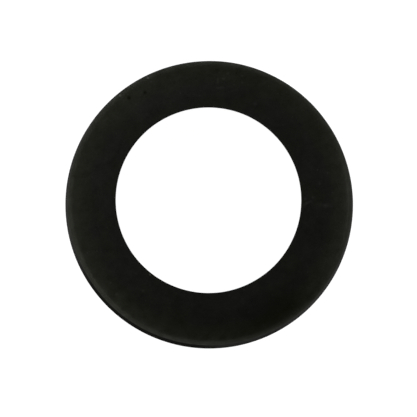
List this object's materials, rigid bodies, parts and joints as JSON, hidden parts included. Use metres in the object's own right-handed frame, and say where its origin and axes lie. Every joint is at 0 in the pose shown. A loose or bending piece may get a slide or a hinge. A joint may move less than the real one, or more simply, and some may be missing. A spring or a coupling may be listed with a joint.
{
  "type": "tank to bowl gasket",
  "caption": "Thick black sponge rubber ring with a flat sealing face, a crowned rounded rim and a large round hole a little off centre, lying flat.",
  "frame": {"origin": "centre of the flat underside, on the axis of the ring's outer wall", "axes": "+Z up along the ring's axis, out of the crowned face; +Y up in the picture, roughly towards the side where the band is narrowest; +X to the picture's right"},
  "size_m": [0.0888, 0.0888, 0.0191],
  "materials": {
    "sponge_rubber": "matt moulded skin"
  },
  "bodies": {
    "root": {"gasket_ring": "sponge_rubber"}
  },
  "joints": []
}
